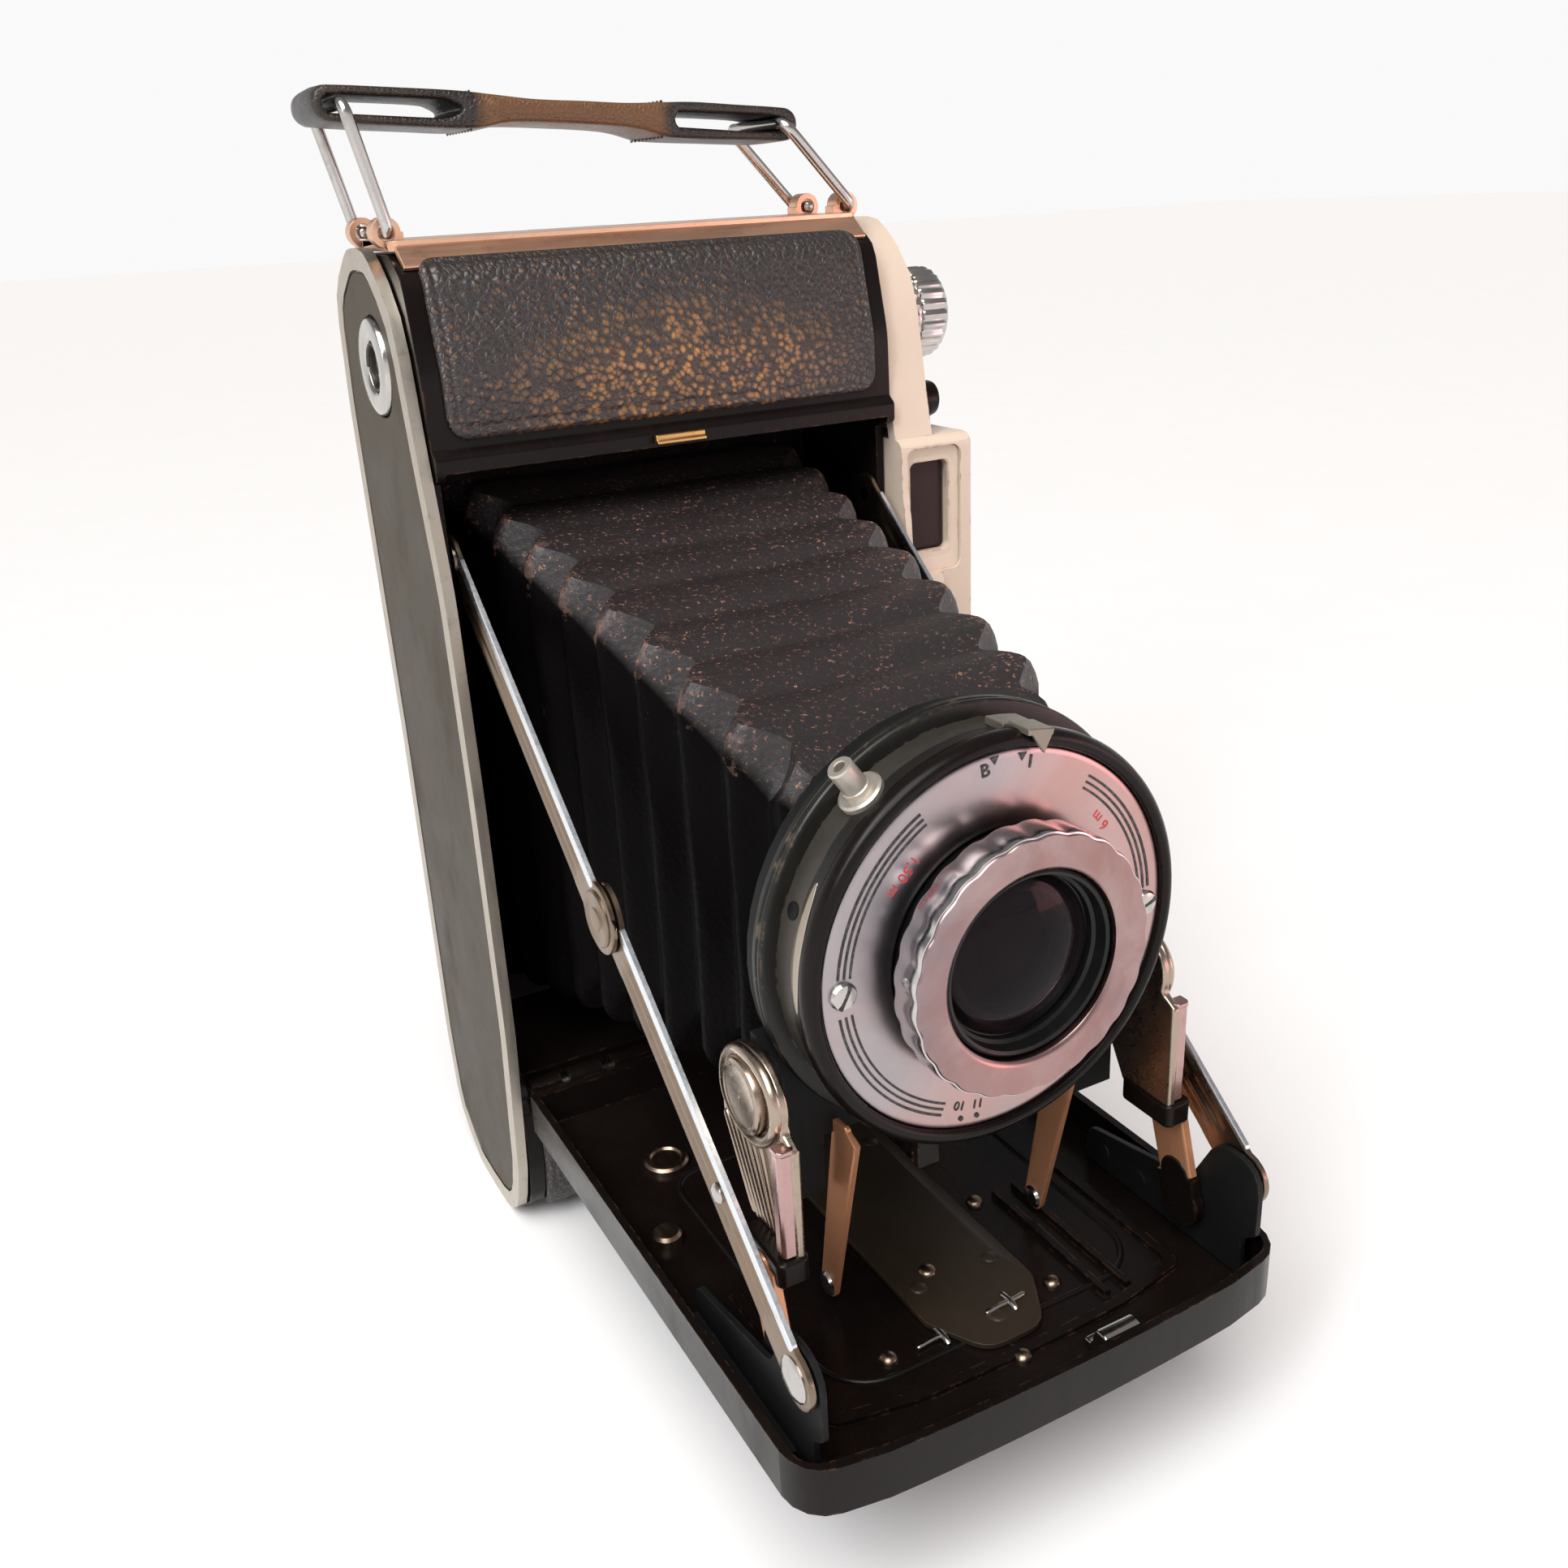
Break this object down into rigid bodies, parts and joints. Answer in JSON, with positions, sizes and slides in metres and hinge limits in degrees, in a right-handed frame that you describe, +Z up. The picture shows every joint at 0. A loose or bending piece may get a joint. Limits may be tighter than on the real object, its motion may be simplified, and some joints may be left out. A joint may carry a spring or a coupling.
{
  "type": "folding camera",
  "caption": "Folding roll-film camera with a fold-down bed, pleated bellows, lens standard on folding legs, carrying handle and hinged back.",
  "frame": {"origin": "middle of the flat end of the body that rests on the table", "axes": "+X to the right across the body as seen from the lens side of the viewer's subject, -Y the way the lens points, +Z up along the body's long side"},
  "size_m": [0.1041, 0.1391, 0.1845],
  "materials": {
    "black_enamel": "gloss black stove enamel",
    "cream_enamel": "cream enamel, satin",
    "panel_enamel": "dark olive enamel, satin",
    "chrome": "polished chrome plate",
    "nickel": "nickel plate, lengthwise grain",
    "aluminium": "satin aluminium, fine turned grain",
    "brass": "bare brass",
    "leather": "black pebbled covering",
    "strap_leather": "smooth dark leather",
    "bellows_cloth": "fine black leatherette",
    "bronze_plate": "brown-black satin",
    "glass": "clear, coated",
    "red_glass": "deep red",
    "dark_steel": "blackened steel"
  },
  "bodies": {
    "camera_body": {"body_shell": "black_enamel", "left_side_cover": "cream_enamel", "left_side_panel": "panel_enamel", "tripod_bush": "chrome", "right_housing": "cream_enamel", "finder_front_glass": "glass", "finder_eyepiece": "glass", "top_plate": "aluminium", "leather_top_panel": "leather", "leather_bottom_panel": "leather", "door_catch": "brass", "bed_hinge_pin": "dark_steel", "back_hinge_pin": "dark_steel", "bellows": "bellows_cloth"},
    "back": {"back_door": "black_enamel", "back_leather": "leather", "red_window": "red_glass", "pressure_plate": "dark_steel"},
    "window_cover": {"window_slide": "chrome"},
    "back_latch": {"back_latch": "chrome"},
    "winding_knob": {"winding_knob": "chrome", "take_up_spool": "dark_steel"},
    "supply_spool": {"supply_spool": "dark_steel"},
    "roller_bottom": {"roller_bottom": "chrome"},
    "roller_top": {"roller_top": "chrome"},
    "release_button": {"release_button": "black_enamel"},
    "bail_left": {"bail_left": "chrome"},
    "bail_right": {"bail_right": "chrome"},
    "handle_strap": {"handle_strap": "strap_leather"},
    "bed": {"bed_shell": "black_enamel", "bed_leather": "leather", "bed_tongue_plate": "bronze_plate", "bed_side_plate_left": "dark_steel", "bed_side_plate_right": "dark_steel"},
    "bed_latch": {"bed_latch": "chrome"},
    "stand_foot": {"stand_foot": "nickel"},
    "brace_upper_left": {"brace_upper_left": "nickel"},
    "brace_upper_right": {"brace_upper_right": "nickel"},
    "brace_lower_left": {"brace_lower_left": "nickel"},
    "brace_lower_right": {"brace_lower_right": "nickel"},
    "leg_left": {"leg_left": "chrome"},
    "leg_right": {"leg_right": "chrome"},
    "lens_board": {"lens_board": "dark_steel", "strut_left": "chrome", "strut_right": "chrome", "shutter_case": "black_enamel", "shutter_bezel": "black_enamel", "face_plate": "aluminium", "cable_socket": "chrome", "lens_tube": "black_enamel", "front_glass": "glass", "rear_glass": "glass", "shutter_blades": "dark_steel"},
    "speed_lever": {"speed_lever": "chrome"},
    "aperture_lever": {"aperture_lever": "chrome"},
    "focus_ring": {"focus_ring": "chrome"}
  },
  "joints": [
    {"name": "bed_fold", "type": "hinge", "parent": "camera_body", "child": "bed", "pos_m": [0, -0.02, 0.029], "axis": [1, 0, 0], "range_deg": [-90, 0], "deforming": ["bellows"]},
    {"name": "leg_left_fold", "type": "hinge", "parent": "bed", "child": "leg_left", "pos_m": [-0.0325, -0.102, 0.0325], "axis": [1, 0, 0], "range_deg": [-48.31, 0]},
    {"name": "brace_upper_left_fold", "type": "hinge", "parent": "camera_body", "child": "brace_upper_left", "pos_m": [-0.0362, -0.0151, 0.1198], "axis": [1, 0, 0], "range_deg": [0, 54.31]},
    {"name": "brace_lower_left_fold", "type": "hinge", "parent": "bed", "child": "brace_lower_left", "pos_m": [-0.0352, -0.1108, 0.041], "axis": [1, 0, 0], "range_deg": [-43.25, 0]},
    {"name": "leg_right_fold", "type": "hinge", "parent": "bed", "child": "leg_right", "pos_m": [0.0325, -0.102, 0.0325], "axis": [1, 0, 0], "range_deg": [-48.31, 0]},
    {"name": "brace_upper_right_fold", "type": "hinge", "parent": "camera_body", "child": "brace_upper_right", "pos_m": [0.0362, -0.0151, 0.1198], "axis": [1, 0, 0], "range_deg": [0, 54.31]},
    {"name": "brace_lower_right_fold", "type": "hinge", "parent": "bed", "child": "brace_lower_right", "pos_m": [0.0352, -0.1108, 0.041], "axis": [1, 0, 0], "range_deg": [-43.25, 0]},
    {"name": "board_pivot", "type": "hinge", "parent": "leg_left", "child": "lens_board", "pos_m": [-0.0284, -0.0903, 0.0664], "axis": [1, 0, 0], "range_deg": [0, 138.31]},
    {"name": "speed_select", "type": "hinge", "parent": "lens_board", "child": "speed_lever", "pos_m": [0, -0.099, 0.0832], "axis": [0, 1, 0], "range_deg": [0, 14]},
    {"name": "aperture_select", "type": "hinge", "parent": "lens_board", "child": "aperture_lever", "pos_m": [0, -0.099, 0.0832], "axis": [0, 1, 0], "range_deg": [-34, 0]},
    {"name": "focus_turn", "type": "hinge", "parent": "lens_board", "child": "focus_ring", "pos_m": [0, -0.106, 0.0832], "axis": [0, 1, 0], "range_deg": [-60, 200]},
    {"name": "foot_fold", "type": "hinge", "parent": "bed", "child": "stand_foot", "pos_m": [0, -0.082, 0.0224], "axis": [1, 0, 0], "range_deg": [0, 88]},
    {"name": "bed_latch_press", "type": "slide", "parent": "bed", "child": "bed_latch", "axis": [0, 1, 0], "range_m": [0, 0.0015], "stiffness_N_per_m": 400},
    {"name": "back_open", "type": "hinge", "parent": "camera_body", "child": "back", "pos_m": [0, 0.017, 0.0036], "axis": [1, 0, 0], "range_deg": [-88, 0]},
    {"name": "window_slide", "type": "slide", "parent": "back", "child": "window_cover", "axis": [0, 0, 1], "range_m": [0, 0.01]},
    {"name": "back_latch_lift", "type": "slide", "parent": "camera_body", "child": "back_latch", "axis": [0, 0, 1], "range_m": [0, 0.005], "stiffness_N_per_m": 400},
    {"name": "winding", "type": "hinge", "parent": "camera_body", "child": "winding_knob", "pos_m": [0.045, 0, 0.147], "axis": [1, 0, 0], "continuous": true},
    {"name": "supply_turn", "type": "hinge", "parent": "camera_body", "child": "supply_spool", "pos_m": [0, 0, 0.0165], "axis": [1, 0, 0], "continuous": true},
    {"name": "roller_bottom_turn", "type": "hinge", "parent": "camera_body", "child": "roller_bottom", "pos_m": [0, 0.0087, 0.0267], "axis": [1, 0, 0], "continuous": true},
    {"name": "roller_top_turn", "type": "hinge", "parent": "camera_body", "child": "roller_top", "pos_m": [0, 0.0087, 0.1368], "axis": [1, 0, 0], "continuous": true},
    {"name": "release_press", "type": "slide", "parent": "camera_body", "child": "release_button", "axis": [-1, 0, 0], "range_m": [0, 0.002], "stiffness_N_per_m": 300},
    {"name": "handle_left", "type": "hinge", "parent": "camera_body", "child": "bail_left", "pos_m": [-0.0376, -0.001, 0.1654], "axis": [0, 1, 0], "range_deg": [0, 48]},
    {"name": "handle_right", "type": "hinge", "parent": "camera_body", "child": "bail_right", "pos_m": [0.0376, -0.001, 0.1654], "axis": [0, 1, 0], "range_deg": [0, 60]},
    {"name": "handle_strap_turn", "type": "hinge", "parent": "bail_left", "child": "handle_strap", "pos_m": [-0.0415, -0.001, 0.182], "axis": [0, 1, 0], "range_deg": [-66, 0]}
  ],
  "couplings": [
    {"joint": "leg_left_fold", "follows": "bed_fold", "ratio": 0.53119},
    {"joint": "brace_upper_left_fold", "follows": "bed_fold", "ratio": -0.59794},
    {"joint": "brace_lower_left_fold", "follows": "bed_fold", "ratio": 0.47502},
    {"joint": "leg_right_fold", "follows": "bed_fold", "ratio": 0.53119},
    {"joint": "brace_upper_right_fold", "follows": "bed_fold", "ratio": -0.59794},
    {"joint": "brace_lower_right_fold", "follows": "bed_fold", "ratio": 0.47502},
    {"joint": "board_pivot", "follows": "bed_fold", "ratio": -1.5312},
    {"joint": "handle_right", "follows": "handle_left", "ratio": 1.07},
    {"joint": "handle_strap_turn", "follows": "handle_left", "ratio": -1.127}
  ]
}
